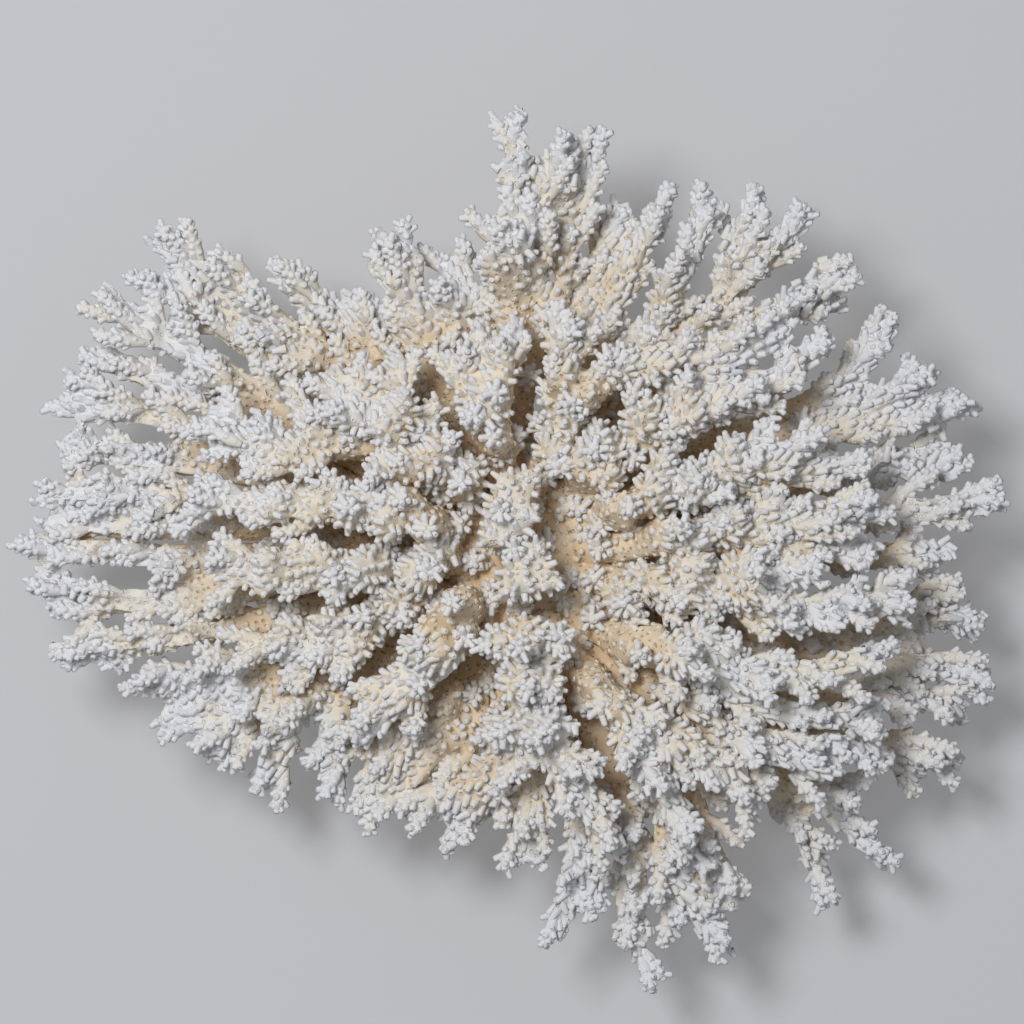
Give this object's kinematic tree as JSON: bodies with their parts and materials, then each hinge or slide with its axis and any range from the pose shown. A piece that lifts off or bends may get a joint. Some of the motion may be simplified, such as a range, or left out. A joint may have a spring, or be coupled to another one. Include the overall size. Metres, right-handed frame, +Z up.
{
  "type": "table coral",
  "caption": "Bleached table coral: a wide fan of fine-tubed branching fingers on a short stalk, sawn flat to rest on.",
  "frame": {"origin": "centre of the sawn foot, on the cut", "axes": "+Z up the stalk, away from the cut; +X along the colony's widest spread; +Y across it, towards the tall tower of fingers at its rim"},
  "size_m": [0.336, 0.297, 0.0983],
  "materials": {
    "skeleton": "matte",
    "stalk": "matte"
  },
  "bodies": {
    "root": {"crown_east": "skeleton", "crown_east_northeast": "skeleton", "crown_east_southeast": "skeleton", "crown_heart": "skeleton", "crown_north": "skeleton", "crown_north_northeast": "skeleton", "crown_northeast": "skeleton", "crown_northwest": "skeleton", "crown_south": "skeleton", "crown_south_southeast": "skeleton", "crown_southeast": "skeleton", "crown_southeast_blunt": "skeleton", "crown_southwest": "skeleton", "crown_west": "skeleton", "crown_west_northwest": "skeleton", "crown_west_rim": "skeleton", "crown_west_southwest": "skeleton", "limb_east": "skeleton", "limb_east_by_north": "skeleton", "limb_east_by_south": "skeleton", "limb_east_northeast": "skeleton", "limb_east_southeast": "skeleton", "limb_north": "skeleton", "limb_north_by_east": "skeleton", "limb_north_northeast": "skeleton", "limb_north_northwest": "skeleton", "limb_northeast": "skeleton", "limb_northwest": "skeleton", "limb_south": "skeleton", "limb_south_by_east": "skeleton", "limb_south_by_west": "skeleton", "limb_south_southeast": "skeleton", "limb_south_southwest": "skeleton", "limb_southeast": "skeleton", "limb_southeast_low": "skeleton", "limb_southwest": "skeleton", "limb_west": "skeleton", "limb_west_by_north": "skeleton", "limb_west_by_south": "skeleton", "limb_west_north": "skeleton", "limb_west_northwest": "skeleton", "limb_west_southwest": "skeleton", "stalk": "stalk"}
  },
  "joints": []
}
